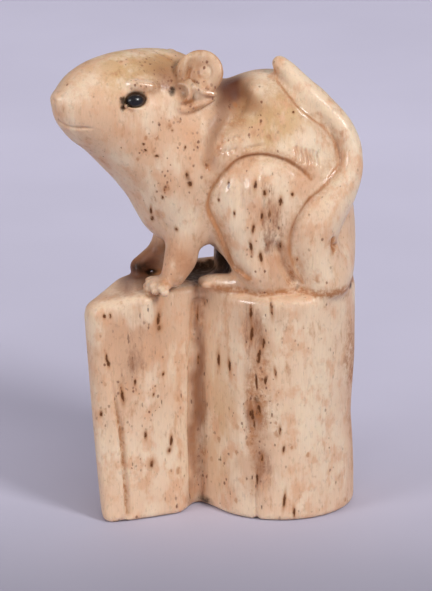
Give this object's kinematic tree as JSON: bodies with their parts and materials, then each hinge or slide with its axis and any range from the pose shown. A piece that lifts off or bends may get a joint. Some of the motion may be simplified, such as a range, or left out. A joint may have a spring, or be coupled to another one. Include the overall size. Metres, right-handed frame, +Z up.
{
  "type": "netsuke",
  "caption": "Polished bone netsuke of a rat crouching on an upright two-lobed block, tail curled over its back, with inlaid black eyes.",
  "frame": {"origin": "middle of the block's flat underside, on the surface the netsuke stands on", "axes": "+Z up along the block, the rat faces -X, and its near side, where the tail and the turned head show, faces -Y"},
  "size_m": [0.032, 0.016, 0.0491],
  "materials": {
    "bone": "hand-polished bone, cream to peach, with brown canals and stained hollows",
    "eye": "polished black horn inlay"
  },
  "bodies": {
    "root": {"carving": "bone", "near_eye": "eye", "far_eye": "eye"}
  },
  "joints": []
}
